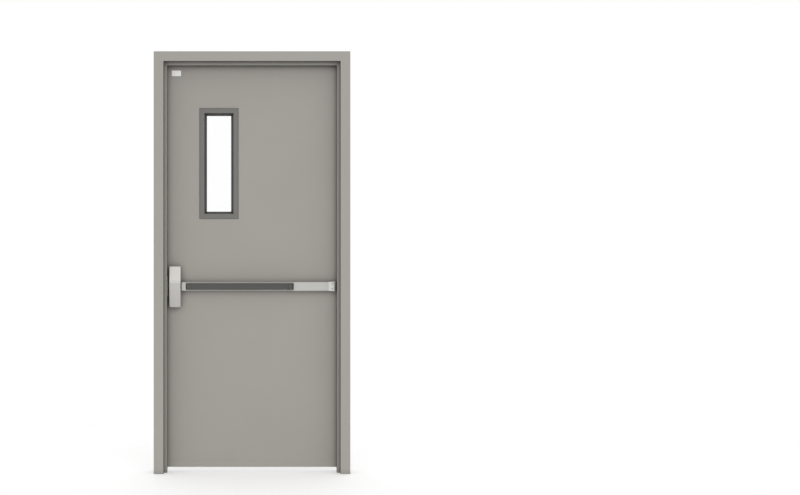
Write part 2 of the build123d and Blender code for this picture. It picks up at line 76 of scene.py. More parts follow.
def srgb(code):
    """Linear colour of a six-digit colour code."""
    values = [int(code[i:i + 2], 16) / 255 for i in (0, 2, 4)]
    return tuple(v / 12.92 if v <= 0.04045 else ((v + 0.055) / 1.055) ** 2.4 for v in values)


def shade(colour_value, share):
    """The colour times a share, never over 1."""
    return tuple(min(c * share, 1.0) for c in colour_value)


# Shader maths

class Nodes:
    """A node tree and the calls that fill it."""

    def __init__(self, tree):
        self.tree = tree

    def node(self, kind, settings=None, inputs=None):
        """Adds a node: its settings first, then its sockets, each a value, a socket or a Value."""
        node = self.tree.nodes.new(kind)
        for setting, value in (settings or {}).items():
            setattr(node, setting, value)
        for key, value in (inputs or {}).items():
            self.feed(node.inputs[key], value)
        return node

    def feed(self, socket, value):
        """Gives one socket a value or a link."""
        if isinstance(value, Value):
            value = value.socket
        if isinstance(value, bpy.types.NodeSocket):
            self.tree.links.new(value, socket)
        else:
            if isinstance(value, tuple) and len(value) == 3 and socket.type == "RGBA":
                value = (*value, 1.0)
            socket.default_value = value


class Value:
    """A number socket of a node tree. Arithmetic written with it adds the Math nodes."""

    def __init__(self, nodes, socket):
        self.nodes = nodes
        self.socket = socket

    def _math(self, operation, *terms):
        node = self.nodes.node("ShaderNodeMath", {"operation": operation}, dict(enumerate(terms)))
        return Value(self.nodes, node.outputs[0])

    def __add__(self, other):
        return self._math("ADD", self, other)

    def __radd__(self, other):
        return self._math("ADD", other, self)

    def __sub__(self, other):
        return self._math("SUBTRACT", self, other)

    def __rsub__(self, other):
        return self._math("SUBTRACT", other, self)

    def __mul__(self, other):
        return self._math("MULTIPLY", self, other)

    def __rmul__(self, other):
        return self._math("MULTIPLY", other, self)

    def __pow__(self, other):
        return self._math("POWER", self, other)

    def at_most(self, other):
        return self._math("MINIMUM", self, other)

    def at_least(self, other):
        return self._math("MAXIMUM", self, other)

    def ramp(self, low, high):
        """0 at low, 1 at high and a smooth rise between them, whichever of the two is larger."""
        node = self.nodes.node(
            "ShaderNodeMapRange",
            {"interpolation_type": "SMOOTHSTEP", "clamp": True},
            {"Value": self, "From Min": min(low, high), "From Max": max(low, high),
             "To Min": 0.0 if low < high else 1.0, "To Max": 1.0 if low < high else 0.0},
        )
        return Value(self.nodes, node.outputs["Result"])


class Finish(Nodes):
    """One material and its principled shader."""

    def __init__(self, name, **constants):
        self.material = bpy.data.materials.new(name)
        self.material.use_nodes = True
        super().__init__(self.material.node_tree)
        self.shader = self.tree.nodes["Principled BSDF"]
        for socket, value in constants.items():
            self.feed(self.shader.inputs[socket.replace("_", " ")], value)
        self._position = None

    @property
    def position(self):
        """The piece's own coordinates, which are metres in the door's frame."""
        if self._position is None:
            self._position = self.node("ShaderNodeTexCoord").outputs["Object"]
        return self._position

    def axis(self, name):
        """One coordinate as a Value."""
        node = self.node("ShaderNodeSeparateXYZ", None, {"Vector": self.position})
        return Value(self, node.outputs[name])

    def stretched(self, x, y, z):
        """Coordinates scaled along each axis, for grain that runs one way."""
        node = self.node("ShaderNodeVectorMath", {"operation": "MULTIPLY"}, {0: self.position, 1: (x, y, z)})
        return node.outputs["Vector"]

    def noise(self, scale, detail=2.0, roughness=0.5, where=None):
        """Soft noise from 0 to 1, with about `scale` lumps to the metre."""
        inputs = {"Vector": where or self.position, "Scale": scale, "Detail": detail, "Roughness": roughness}
        node = self.node("ShaderNodeTexNoise", {"noise_dimensions": "3D"}, inputs)
        return Value(self, node.outputs["Fac"])

    def cells(self, scale):
        """A random number from 0 to 1 for each of a crowd of cells."""
        node = self.node("ShaderNodeTexVoronoi", None, {"Vector": self.position, "Scale": scale})
        split = self.node("ShaderNodeSeparateColor", None, {"Color": node.outputs["Color"]})
        return Value(self, split.outputs["Red"])

    def blend(self, factor, first, second):
        """Colour between two colours. A Mix node has its colour sockets at 6 and 7."""
        settings = {"data_type": "RGBA", "blend_type": "MIX", "clamp_factor": True}
        return self.node("ShaderNodeMix", settings, {0: factor, 6: first, 7: second}).outputs[2]

    def crevice(self, reach, depth):
        """Painted shade: 0 in the open, rising to `depth` where other surfaces crowd round closer than reach.
        """
        node = self.node("ShaderNodeAmbientOcclusion", {"samples": 12}, {"Distance": reach})
        return (1.0 - Value(self, node.outputs["AO"])) ** 1.5 * depth

    def tone(self, colour_value, amount, spread):
        """The colour, darker and lighter by a share as `amount` goes from 0 to 1."""
        return self.blend(amount, shade(colour_value, 1 - spread), shade(colour_value, 1 + spread))

    def bump(self, height, distance):
        """Feeds a height to the shader's normal; `distance` is the relief in metres."""
        node = self.node("ShaderNodeBump", None, {"Strength": 1.0, "Distance": distance, "Height": height})
        self.set("Normal", node.outputs["Normal"])

    def set(self, socket, value):
        """Feeds one of the shader's inputs."""
        self.feed(self.shader.inputs[socket], value)

    def darken(self, factor, dark):
        """Blends what feeds the base colour to a dark colour."""
        base = self.shader.inputs["Base Color"].links[0].from_socket
        self.set("Base Color", self.blend(factor, base, dark))


# Surfaces

def grid_faces(rows, columns):
    """Quads over a grid of points, numbered row by row, the last column joined to the first."""
    index = np.arange(rows * columns).reshape(rows, columns)
    index = np.concatenate([index, index[:, :1]], axis=1)
    corners = (index[:-1, :-1], index[1:, :-1], index[1:, 1:], index[:-1, 1:])
    return np.stack(corners, axis=-1).reshape(-1, 4)


def surface(name, grids, body, sharp=35.0):
    """Makes one piece of grids of points, each (copies, rows, columns, 3) or (rows, columns, 3)."""
    points, faces, start = [], [], 0
    for grid in grids:
        copies = grid if grid.ndim == 4 else grid[None]
        count, rows, columns = copies.shape[:3]
        one = grid_faces(rows, columns)
        offsets = start + np.arange(count)[:, None, None] * rows * columns
        faces.append((one[None] + offsets).reshape(-1, 4))
        points.append(copies.reshape(-1, 3))
        start += count * rows * columns
    mesh = bpy.data.meshes.new(name)
    mesh.from_pydata(np.concatenate(points).tolist(), [], np.concatenate(faces).tolist())
    piece = bpy.data.objects.new(name, mesh)
    bpy.context.scene.collection.objects.link(piece)
    close(mesh)
    mesh.shade_smooth()
    mesh.set_sharp_from_angle(angle=math.radians(sharp))
    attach(piece, body)
    return piece


def close(mesh):
    """Merges the points of poles and seams and turns every face outwards."""
    work = bmesh.new()
    work.from_mesh(mesh)
    bmesh.ops.remove_doubles(work, verts=work.verts, dist=1e-6)
    bmesh.ops.dissolve_degenerate(work, edges=work.edges, dist=1e-7)
    bmesh.ops.recalc_face_normals(work, faces=work.faces)
    work.to_mesh(mesh)
    work.free()


def placed(grid, places, outward):
    """Copies of a grid drawn about +Z, its height turned to `outward` and set at each place."""
    outward = np.asarray(outward, float)
    side = np.array([0.0, 0.0, 1.0]) if abs(outward[2]) < 0.5 else np.array([1.0, 0.0, 0.0])
    across = np.cross(side, outward)
    basis = np.stack([across, side, outward])
    return (grid @ basis)[None] + np.asarray(places, float)[:, None, None, :]


def screw_head(radius, crown, recess=0.45, turn=0.4):
    """Flat screw head with a cross recess.

    Rings of a disc; height = crown x (1 - (r / radius)^6), less the recess depth where the point lies
    within a cross, with a soft wall: depth x (1 - smooth step of the distance past the cross)."""
    share = np.array([0, 0.1, 0.16, 0.22, 0.28, 0.34, 0.4, 0.46, 0.52, 0.6, 0.7, 0.82, 0.92, 0.97, 1.0, 1.0])
    angle = np.linspace(0, 2 * math.pi, 48, endpoint=False)
    r, t = np.meshgrid(share * radius, angle, indexing="ij")
    u, v = np.abs(r * np.cos(t + turn)), np.abs(r * np.sin(t + turn))
    reach, half = 0.5 * radius, 0.11 * radius
    arm = np.minimum(np.maximum(u - reach, v - half), np.maximum(v - reach, u - half))
    step = np.clip(arm / (0.08 * radius) + 0.5, 0, 1)
    depth = recess * radius * (1 - r / (1.4 * radius)) * (1 - step * step * (3 - 2 * step))
    z = crown * (1 - (r / radius) ** 6) - depth
    z[-1] = -crown
    return np.stack([r * np.cos(t), r * np.sin(t), z], axis=-1)


def dome_cap(radius, rise, slot):
    """Domed cap with a straight slot.

    Rings of a disc; height = rise x the square root of (1 - (r / radius)^2) for the outer tenth and a
    flat crown inside it, less the slot's depth where the point lies within half the slot's width."""
    share = np.array([0, 0.15, 0.3, 0.45, 0.6, 0.7, 0.8, 0.87, 0.92, 0.96, 0.985, 1.0, 1.0])
    angle = np.linspace(0, 2 * math.pi, 64, endpoint=False)
    r, t = np.meshgrid(share * radius, angle, indexing="ij")
    x, y = r * np.cos(t), r * np.sin(t)
    edge = np.clip((r / radius - 0.55) / 0.45, 0, 1)
    z = rise * np.sqrt(np.clip(1 - edge ** 2.4, 0, 1))
    inside = (np.abs(y) < slot) & (r < 0.999 * radius)
    z = np.where(inside, np.minimum(z, rise * 0.55), z)
    z[-1] = 0.0
    return np.stack([x, y, z], axis=-1)


class Outline:
    """Closed outline of (depth, height) corners, each rounded by an arc.

    A corner's arc is its centre plus its radius times the directions from one side's normal to the
    next; two more points just past the arc's ends keep the flats flat. An inset takes the same amount
    off every radius, which moves every side inwards by it."""

    def __init__(self, corners, radii, steps=5, flat=0.0004):
        corners = np.asarray(corners, float)
        before = corners - np.roll(corners, 1, axis=0)
        before /= np.linalg.norm(before, axis=1)[:, None]
        after = np.roll(before, -1, axis=0)
        first = np.stack([before[:, 1], -before[:, 0]], axis=1)
        last = np.stack([after[:, 1], -after[:, 0]], axis=1)
        radius = np.asarray(radii, float)[:, None]
        cross = first[:, 0] * last[:, 1] - first[:, 1] * last[:, 0]
        half = np.arctan2(cross, (first * last).sum(1))[:, None] / 2
        middle = first + last
        middle /= np.linalg.norm(middle, axis=1)[:, None]
        centre = corners - middle * radius / np.cos(half)
        turn = np.linspace(-1, 1, steps)[None, :] * half
        turn = np.concatenate([turn[:, :1], turn, turn[:, -1:]], axis=1)
        cos, sin = np.cos(turn), np.sin(turn)
        self.way = np.stack([middle[:, :1] * cos - middle[:, 1:] * sin,
                             middle[:, :1] * sin + middle[:, 1:] * cos], axis=-1)
        self.centre = np.repeat(centre[:, None, :], steps + 2, axis=1)
        self.centre[:, 0] -= before * flat
        self.centre[:, -1] += after * flat
        self.radius = np.repeat(radius[:, None, :], steps + 2, axis=1)

    def points(self, inset=0.0):
        """The outline's points, each side moved in by the inset."""
        return (self.centre + self.way * (self.radius - inset)).reshape(-1, 2)


def rounded_bar(outline, start, end, edge_start, edge_end, taper=None):
    """Outline carried along X, its two ends rounded over to flat faces.

    Rows run along X. Near an end the row at angle a of the edge's arc stands edge x (1 - cos a) in
    from the end, and its outline is inset by edge x (1 - sin a). The first and last rows are the
    middle of each end face. `taper` gives each X a pair of factors for depth and height."""
    arc = np.linspace(0, math.pi / 2, 6)
    lead = edge_start * (1 - np.cos(arc))
    tail = edge_end * (1 - np.cos(arc))
    inner = np.linspace(start + edge_start + 0.0004, end - edge_end - 0.0004, 9)
    x = np.concatenate([start + lead, inner, end - tail[::-1]])
    inset = np.concatenate([edge_start * (1 - np.sin(arc)), np.zeros(9), edge_end * (1 - np.sin(arc))[::-1]])
    rows = np.stack([outline.points(amount) for amount in inset])
    inner_ring = rows[[0, -1]] * 0.97 + rows[[0, -1]].mean(axis=1, keepdims=True) * 0.03
    poles = np.broadcast_to(rows[[0, -1]].mean(axis=1, keepdims=True), rows[[0, -1]].shape)
    rows = np.concatenate([poles[:1], inner_ring[:1], rows, inner_ring[1:], poles[1:]])
    x = np.concatenate([[start, start], x, [end, end]])
    if taper is not None:
        rows = rows * taper(x)[:, None, :]
    return np.concatenate([np.broadcast_to(x[:, None, None], rows.shape[:2] + (1,)), rows], axis=2)


def on_leaf(grid, leaf_face, height):
    """Turns (X, depth, height) points to the door's frame, the depth standing out from the push side."""
    return np.stack([grid[..., 0], leaf_face - grid[..., 1], height + grid[..., 2]], axis=-1)


# Properties

def number(name, description, default, **options):
    return FloatProperty(name=name, description=description, default=default, **options)


def vector(name, description, default, **options):
    options.update(name=name, description=description, default=default, size=len(default))
    return FloatVectorProperty(**options)


def colour(name, description, code):
    return vector(name, description, srgb(code), subtype="COLOR", min=0.0, max=1.0)


def length(name, description, millimetres):
    return number(name, description, millimetres / 1000, min=0.0, unit="LENGTH", precision=4)


class FireDoorColours(bpy.types.PropertyGroup):
    frame_paint: colour("Frame paint", "Paint of the pressed-steel frame", "9F9D96")
    leaf_paint: colour("Leaf paint", "Paint of both faces and the edges of the leaf", "9E9A94")
    vision_paint: colour("Vision frame paint", "Darker paint of the two glazing frames", "6E6D69")
    # Painted shade: the slope's near-black colour stands for the shade on the glazing frames' inner slopes.
    vision_slope: colour("Vision slope paint", "Near-black slope of the glazing frames", "393837")
    case_paint: colour("Latch case paint", "Aluminium paint of the latch case", "CFCDC8")
    neck_paint: colour("Neck paint", "Aluminium paint of the neck between case and rail", "BCBAB5")
    cover_paint: colour("Cover paint", "Aluminium paint of the rail cover", "B7B7B4")
    cap_paint: colour("End cap paint", "Paint of the end cap", "D0CECA")
    rail_metal: colour("Rail metal", "Anodised aluminium of the rail", "AEAFAB")
    bolt_plate: colour("Nickel plate", "Dull nickel of the latch bolt", "EFEDE9")
    # Painted shade: the end cap's screws are near-black, standing for the shade in their recesses.
    black_screw: colour("Black screw", "Blackened screws of the end cap", "4B4946")
    pad_plastic: colour("Pad plastic", "Moulded plastic of the push pad", "474744")
    hinge_steel: colour("Hinge steel", "Satin steel of the hinges, the strike and the screws", "B4B2AD")
    zinc_steel: colour("Zinc-coated steel", "Clips, anchors, channels and stiffening plates", "9DA1A3")
    core_board: colour("Core board", "Mineral board inside the leaf", "C9C0AC")
    glazing_tape: colour("Glazing tape", "Tape on both sides of the glass", "3B3B39")
    label_foil: colour("Label foil", "Blank label on the leaf", "F4F4F1")


class FireDoorSizes(bpy.types.PropertyGroup):
    dust_height: length("Dust height", "How far up the paint a film of dust reaches", 160.0)
    # Reaches of the painted shade in corners, one for each kind of finish.
    paint_crevice: length("Paint crevice", "Reach of the darkening in the corners of painted steel", 35.0)
    glazing_crevice: length("Glazing crevice", "Reach of the darkening in the glazing frames", 30.0)
    cover_crevice: length("Cover crevice", "Reach of the darkening round the device's covers", 20.0)
    hinge_screw: length("Hinge screw", "Head radius of a hinge screw", 4.6)
    vision_screw: length("Vision screw", "Head radius of a glazing frame screw", 3.4)
    strike_screw: length("Strike screw", "Head radius of a strike screw", 4.2)
    strike_screw_inset: length("Strike screw inset", "From a strike screw to the end of its plate", 16.0)
    vision_screw_inset: length("Vision screw inset", "From a vision screw to the frame's side", 13.5)
    vision_screw_end: length("Vision screw end", "From the last side screw to the frame's end", 50.0)
    cap_screw: length("Cap screw", "Head radius of an end cap screw", 3.0)
    cap_screw_above: length("Upper cap screw", "Height of the upper end cap screw over the middle", 14.5)
    cap_screw_below: length("Lower cap screw", "Depth of the lower end cap screw under the middle", 11.5)
    screw_crown: length("Screw crown", "Rise of a screw head above its plate", 0.25)
    case_ridge: length("Case ridge", "Height of the latch case's ridge over its foot", 128.5)
    case_bevel: length("Case bevel", "Height of the bright bevel over the ridge", 11.0)
    case_edge: length("Case edge", "Rounding of the case's sides", 2.6)
    # Painted shade under the latch case's ridge.
    ridge_edge: length("Ridge edge", "Half the height over which the case darkens under its ridge", 2.0)
    ridge_fade: length("Ridge fade", "Height over which the case darkens further down", 120.0)
    cover_edge: length("Cover edge", "Rounding of the front edges of the cover and the cap", 4.5)
    fine_edge: length("Fine edge", "Rounding of the covers' small edges", 0.6)
    cap_end_edge: length("Cap end edge", "Rounding of the end cap's far end", 3.0)
    cover_seam: length("Cover seam", "Gap between a cover and its neighbour", 0.4)
    neck_collar: length("Neck collar", "Length of the smaller collar next to the case", 3.6)
    pad_end: length("Pad end", "Length of the pad's end pieces", 22.0)
    pad_lip: length("Pad lip", "How far the pad's face stands over its body", 4.6)
    pad_wall: length("Pad wall", "Thickness of the body's two walls", 2.5)
    pad_flange: length("Pad flange", "Thickness of the pad's face", 3.0)
    pad_edge: length("Pad edge", "Rounding of the face's long edges", 2.1)
    pad_joint: length("Pad joint", "Gap between the lengths of the pad's face", 0.5)
    pad_joint_edge: length("Pad joint edge", "Rounding beside a joint of the pad", 1.2)
    bolt_cap: length("Bolt cap", "Radius of a through-bolt cap", 9.0)
    bolt_cap_slot: length("Bolt cap slot", "Half the width of the cap's slot", 1.1)
    end_bolt_spacing: length("End bolt spacing", "Between the two bolts of the end bracket", 18.0)
    frame_face: length("Frame face", "Width of the frame's face", 50.8)
    stop: length("Stop", "How far the stop stands out of the rabbet", 15.9)
    # Width of the painted shade along the frame's returns.
    return_width: length("Return band", "Reach of the darker paint of a return past its edge", 0.8)
    glazing_face: length("Glazing face", "Flat width of a glazing frame before its slope", 25.0)
    glazing_bend: length("Glazing bend", "Width over which the slope's paint sets in", 1.2)
    label_width: length("Label width", "Width of the blank label", 48.0)
    label_height: length("Label height", "Height of the blank label", 29.0)
    label_sheet: length("Label thickness", "Thickness of the blank label", 0.5)
    label_corner: length("Label corner", "Rounding of the label's corners", 1.5)
    label_from_edge: length("Label from edge", "From the leaf's edge to the middle of the label", 55.0)
    label_from_top: length("Label from top", "From the leaf's top to the middle of the label", 45.9)
    paint_relief: length("Paint relief", "Height of the orange peel in the paint", 0.03)


class FireDoorStage(bpy.types.PropertyGroup):
    camera_distance: number("Camera distance", "From the camera to the door", 8.0, min=1.0, unit="LENGTH")
    camera_height: number("Camera height", "Eye height over the floor", 1.092, min=0.0, unit="LENGTH")
    lens: number("Lens", "Focal length in millimetres", 69.7, min=10.0)
    shift: vector("Shift", "Shift that frames the door", (0.185, 0.019))
    dome: number("Dome", "Strength of the soft light beside the door", 0.34)
    front: number("Front", "What the dome gains straight before and behind the door", 1.08)
    overhead: number("Overhead", "What the dome gains straight above", 0.2)
    key: number("Key light", "Power of the smaller lamp to the right", 28.0, unit="POWER")
    key_place: vector("Key place", "Middle of the lamp", (0.5, -5.2, 3.2), unit="LENGTH")
    key_aim: vector("Key aim", "Point that the lamp is turned to", (-0.48, 0.0, 1.0), unit="LENGTH")
    key_size: number("Key size", "Side of the square lamp", 2.6, min=0.1, unit="LENGTH")
    floor_reach: number("Floor reach", "Radius of the floor", 4.0, min=1.0, unit="LENGTH")
    floor_solid: number("Solid floor", "Radius within which the floor is solid", 0.7, min=0.0, unit="LENGTH")
    floor_glow: number("Floor glow", "White light that the floor adds from below", 0.3, min=0.0, max=1.0)


def door_settings(context):
    """The colours and the sizes of the door."""
    return context.scene.firedoor_colours, context.scene.firedoor_sizes


# Finishes

def paint(name, colour_value, sizes, corner_shade):
    """Sprayed paint on steel: orange peel, faint cloudiness, a dust film low down, and painted shade
    darkening its corners.
    """
    finish = Finish(name, IOR=1.47, Specular_IOR_Level=0.35)
    cloud = finish.noise(2.6, 3.0)
    speck = finish.noise(240.0, 2.0)
    height = finish.axis("Z")
    base = finish.tone(colour_value, cloud * 0.7 + speck * 0.3, 0.055)
    dust = height.ramp(sizes.dust_height, 0.0) * finish.noise(9.0, 4.0, 0.6)
    finish.set("Base Color", finish.blend(dust * 0.06, base, shade(colour_value, 0.75)))
    # Painted shade: where other surfaces crowd round, the colour darkens towards a tenth of the paint's.
    finish.darken(finish.crevice(sizes.paint_crevice, corner_shade), shade(colour_value, 0.1))
    finish.set("Roughness", 0.4 + finish.noise(5.0, 3.0) * 0.14 + dust * 0.1)
    peel = finish.noise(330.0, 2.0, 0.45) + finish.noise(36.0, 1.0) * 0.8
    finish.bump(peel, sizes.paint_relief)
    return finish


def frame_paint(name, colour_value, sizes, low, high):
    """Paint of the frame, with painted shade darkening the two narrow returns beside the stop.

    The distance in from the frame's nearest outer edge is the least of three; it holds one value all
    over the rabbet's return and another all over the stop's inner side."""
    finish = paint(name, colour_value, sizes, 0.75)
    x, z = finish.axis("X"), finish.axis("Z")
    inward = (x - low.x).at_most(high.x - x).at_most(high.z - z)
    near = sizes.return_width
    # Painted shade: a dark band over the whole of the rabbet's return and of the stop's inner side.
    for edge in (sizes.frame_face, sizes.frame_face + sizes.stop):
        band = inward.ramp(edge - near, edge - near / 2) * inward.ramp(edge + near, edge + near / 2)
        finish.darken(band * 0.75, shade(colour_value, 0.1))
    return finish


def glazing_paint(name, colour_value, slope_colour, sizes, low, high):
    """Paint of a glazing frame, with painted shade: a near-black inner slope and darker corners.

    The distance in from the frame's nearest outer edge is the least of the four distances to its
    sides; past the flat face it blends to the slope's colour."""
    finish = Finish(name, IOR=1.47)
    x, z = finish.axis("X"), finish.axis("Z")
    inward = (x - low.x).at_most(high.x - x).at_most((z - low.z).at_most(high.z - z))
    slope = inward.ramp(sizes.glazing_face, sizes.glazing_face + sizes.glazing_bend)
    cloud = finish.noise(12.0, 3.0) * 0.6 + finish.noise(300.0, 2.0) * 0.4
    flat = finish.tone(colour_value, cloud, 0.06)
    # Painted shade: the inner slope's near-black colour stands for the shade that falls on it.
    dark = finish.tone(slope_colour, cloud, 0.12)
    finish.set("Base Color", finish.blend(slope, flat, dark))
    # Painted shade: darker where other surfaces crowd round the frame.
    finish.darken(finish.crevice(sizes.glazing_crevice, 1.0), shade(slope_colour, 0.1))
    finish.set("Roughness", 0.42 + cloud * 0.12 + slope * 0.12)
    finish.bump(finish.noise(420.0, 2.0, 0.45), sizes.paint_relief * 0.7)
    return finish.material


def metal_paint(name, colour_value, sizes, ridge=None):
    """Aluminium paint on a cast or pressed cover: fine flakes, a satin sheen, and painted shade under a ridge
    and in its corners.
    """
    finish = Finish(name, IOR=1.5, Metallic=0.25)
    flake = finish.cells(1600.0)
    cloud = finish.noise(14.0, 2.0)
    base = finish.tone(colour_value, cloud * 0.5 + flake * 0.5, 0.05)
    # Painted shade: under the ridge the colour darkens, sharply at first, then slowly further down, as for a
    # lower face that less light reaches.
    if ridge is not None:
        height = finish.axis("Z")
        edge = height.ramp(ridge + sizes.ridge_edge, ridge - 2 * sizes.ridge_edge)
        under = edge * 0.8 + height.ramp(ridge, ridge - sizes.ridge_fade) * 0.2
        base = finish.blend(under, base, shade(colour_value, 0.76))
    finish.set("Base Color", base)
    # Painted shade: darker where other surfaces crowd round the cover.
    finish.darken(finish.crevice(sizes.cover_crevice, 1.0), shade(colour_value, 0.15))
    finish.set("Roughness", 0.36 + flake * 0.1 + finish.noise(60.0, 2.0) * 0.08)
    finish.bump(finish.noise(700.0, 2.0), sizes.paint_relief * 0.5)
    return finish.material


def brushed(name, colour_value, along, roughness=0.34, metallic=1.0):
    """Metal with fine lines: noise drawn out along one axis lightens, roughens and scores it."""
    finish = Finish(name, Metallic=metallic)
    long_lines, fine_lines = 40.0, 2600.0
    scale = tuple(long_lines if a else fine_lines for a in along)
    line = finish.noise(1.0, 3.0, 0.6, finish.stretched(*scale))
    cloud = finish.noise(18.0, 2.0)
    finish.set("Base Color", finish.tone(colour_value, line * 0.6 + cloud * 0.4, 0.12))
    finish.set("Roughness", roughness + line * 0.14 + cloud * 0.06)
    finish.bump(line, 0.00001)
    return finish.material


def nickel(name, colour_value):
    """Dull nickel plate: faint clouds and pits on a pale satin metal."""
    finish = Finish(name, Metallic=0.2)
    cloud = finish.noise(90.0, 3.0)
    finish.set("Base Color", finish.tone(colour_value, cloud, 0.06))
    finish.set("Roughness", 0.32 + cloud * 0.12)
    finish.bump(finish.noise(900.0, 2.0), 0.00001)
    return finish.material


def galvanised(name, colour_value):
    """Zinc coat: patches of crystals, each a little lighter or darker than the next."""
    finish = Finish(name, Metallic=0.85)
    spangle = finish.cells(110.0)
    fine = finish.noise(300.0, 3.0)
    finish.set("Base Color", finish.tone(colour_value, spangle * 0.7 + fine * 0.3, 0.18))
    finish.set("Roughness", 0.38 + spangle * 0.16 + fine * 0.08)
    finish.bump(fine + spangle * 0.5, 0.00002)
    return finish.material


def moulded(name, colour_value):
    """Moulded plastic with a fine leather-like grain, rubbed a little smoother in patches."""
    finish = Finish(name, IOR=1.49)
    grain = finish.noise(900.0, 3.0, 0.6)
    rub = finish.noise(11.0, 3.0, where=finish.stretched(0.35, 1.0, 1.0))
    finish.set("Base Color", finish.tone(colour_value, rub * 0.6 + grain * 0.4, 0.1))
    finish.set("Roughness", 0.56 - rub * 0.14 + grain * 0.1)
    finish.bump(grain, 0.00006)
    return finish.material


def tape(name, colour_value):
    """Fibrous fire tape: matt, with short fibres."""
    finish = Finish(name, Specular_IOR_Level=0.25)
    fibre = finish.noise(1.0, 4.0, 0.7, finish.stretched(500.0, 1400.0, 500.0))
    finish.set("Base Color", finish.tone(colour_value, fibre, 0.25))
    finish.set("Roughness", 0.8 + fibre * 0.15)
    finish.bump(fibre, 0.00008)
    return finish.material


def board(name, colour_value):
    """Pressed mineral board: pits and flecks on a dry matt face."""
    finish = Finish(name, Specular_IOR_Level=0.2)
    fleck = finish.cells(420.0)
    lump = finish.noise(60.0, 4.0, 0.6)
    finish.set("Base Color", finish.tone(colour_value, fleck * 0.4 + lump * 0.6, 0.22))
    finish.set("Roughness", 0.82 + lump * 0.12)
    finish.bump(lump + fleck * 0.4, 0.0004)
    return finish.material


def pane(name):
    """Clear fire glass: nearly invisible face on, with a faint film and faint green in it."""
    finish = Finish(name, IOR=1.5, Roughness=0.03)
    film = finish.noise(7.0, 3.0)
    finish.set("Base Color", finish.tone((0.86, 0.90, 0.88), film, 0.05))
    finish.set("Roughness", 0.02 + film * 0.05)
    finish.set("Alpha", 0.03 + film * 0.02)
    return finish.material


def foil(name, colour_value):
    """Blank metallised label: smooth, with the faintest waves where it is pressed on."""
    finish = Finish(name, IOR=1.45)
    wave = finish.noise(55.0, 2.0)
    finish.set("Base Color", finish.tone(colour_value, wave, 0.03))
    finish.set("Roughness", 0.38 + wave * 0.1)
    finish.bump(wave, 0.00012)
    return finish.material


def dress(names, material):
    """Gives CAD nodes one material."""
    for name in names:
        piece = NODES[name]
        if not piece.material_slots:
            piece.data.materials.append(material)
        for place in piece.material_slots:
            place.material = material


def finish_piece(piece, material, replaces=()):
    """Gives a new piece its material and hides the nodes that it stands for."""
    piece.data.materials.append(material)
    if replaces:
        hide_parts(*replaces)


# Operators

class FIREDOOR_OT_stage(bpy.types.Operator):
    """Sets the camera, the floor, the lamps and the white surroundings"""
    bl_idname = "firedoor.stage"
    bl_label = "Stage"

    def execute(self, context):
        stage = context.scene.firedoor_stage
        scene = context.scene
        scene.view_settings.view_transform = "Standard"
        low, high = cad_box
        middle = Vector(((low[0] + high[0]) / 2, low[1], 0.0))
        data = bpy.data.cameras.new("camera")
        data.lens = stage.lens
        data.shift_x, data.shift_y = stage.shift
        data.clip_end = 200.0
        camera = bpy.data.objects.new("camera", data)
        camera.location = (middle.x, low[1] - stage.camera_distance, stage.camera_height)
        camera.rotation_euler = (math.pi / 2, 0.0, 0.0)
        scene.collection.objects.link(camera)
        scene.camera = camera
        self.lamp("key_lamp", stage)
        self.surroundings(scene, stage)
        self.floor(middle, stage)
        return {"FINISHED"}

    def lamp(self, name, stage):
        """A large square lamp turned to the leaf."""
        data = bpy.data.lights.new(name, "AREA")
        data.size = stage.key_size
        data.energy = stage.key
        lamp = bpy.data.objects.new(name, data)
        lamp.location = stage.key_place
        aim = Vector(stage.key_aim) - Vector(stage.key_place)
        lamp.rotation_euler = aim.to_track_quat("-Z", "Y").to_euler()
        lamp.visible_camera = False
        bpy.context.scene.collection.objects.link(lamp)

    def surroundings(self, scene, stage):
        """White for rays from the camera, off gloss and through glass, and a soft dome for the rest.

        The dome's strength in the direction (x, y, z) is dome + overhead z + front y^2."""
        world = bpy.data.worlds.new("surroundings")
        world.use_nodes = True
        world.node_tree.nodes.clear()
        sky = Nodes(world.node_tree)
        path = sky.node("ShaderNodeLightPath")
        seen = Value(sky, path.outputs["Is Camera Ray"])
        for kind in ("Is Glossy Ray", "Is Transmission Ray"):
            seen = seen.at_least(path.outputs[kind])
        direction = sky.node("ShaderNodeTexCoord").outputs["Generated"]
        split = sky.node("ShaderNodeSeparateXYZ", None, {"Vector": direction})
        along, up = Value(sky, split.outputs["Y"]), Value(sky, split.outputs["Z"])
        strength = up * stage.overhead + stage.dome + along * along * stage.front
        dome = sky.node("ShaderNodeBackground", None, {"Color": WHITE, "Strength": strength})
        white = sky.node("ShaderNodeBackground", None, {"Color": WHITE, "Strength": 1.0})
        shaders = {0: seen, 1: dome.outputs[0], 2: white.outputs[0]}
        mix = sky.node("ShaderNodeMixShader", None, shaders)
        sky.node("ShaderNodeOutputWorld", None, {"Surface": mix.outputs[0]})
        scene.world = world

    def floor(self, middle, stage):
        """Pale disc that thins out to nothing away from the door.

        Rings about the door's foot: x = r cos t, y = r sin t, a little under the feet of the frame."""
        angle = np.linspace(0, 2 * math.pi, 96, endpoint=False)
        rings = stage.floor_reach * np.array([0.0, 0.125, 0.25, 0.5, 1.0])
        r, t = np.meshgrid(rings, angle, indexing="ij")
        under = 0.0004
        grid = np.stack([middle.x + r * np.cos(t), r * np.sin(t), np.full_like(r, -under)], axis=-1)
        faces = grid_faces(*r.shape)
        mesh = bpy.data.meshes.new("floor")
        mesh.from_pydata(grid.reshape(-1, 3).tolist(), [], faces.tolist())
        close(mesh)
        piece = bpy.data.objects.new("floor", mesh)
        bpy.context.scene.collection.objects.link(piece)
        finish = Finish("floor", Roughness=0.75, Emission_Color=WHITE, Emission_Strength=stage.floor_glow)
        finish.set("Base Color", finish.tone((0.93, 0.93, 0.93), finish.noise(3.0), 0.01))
        x, y = finish.axis("X") - middle.x, finish.axis("Y")
        far = (x * x + y * y) ** 0.5
        finish.set("Alpha", far.ramp(0.85 * stage.floor_reach, stage.floor_solid))
        mesh.materials.append(finish.material)


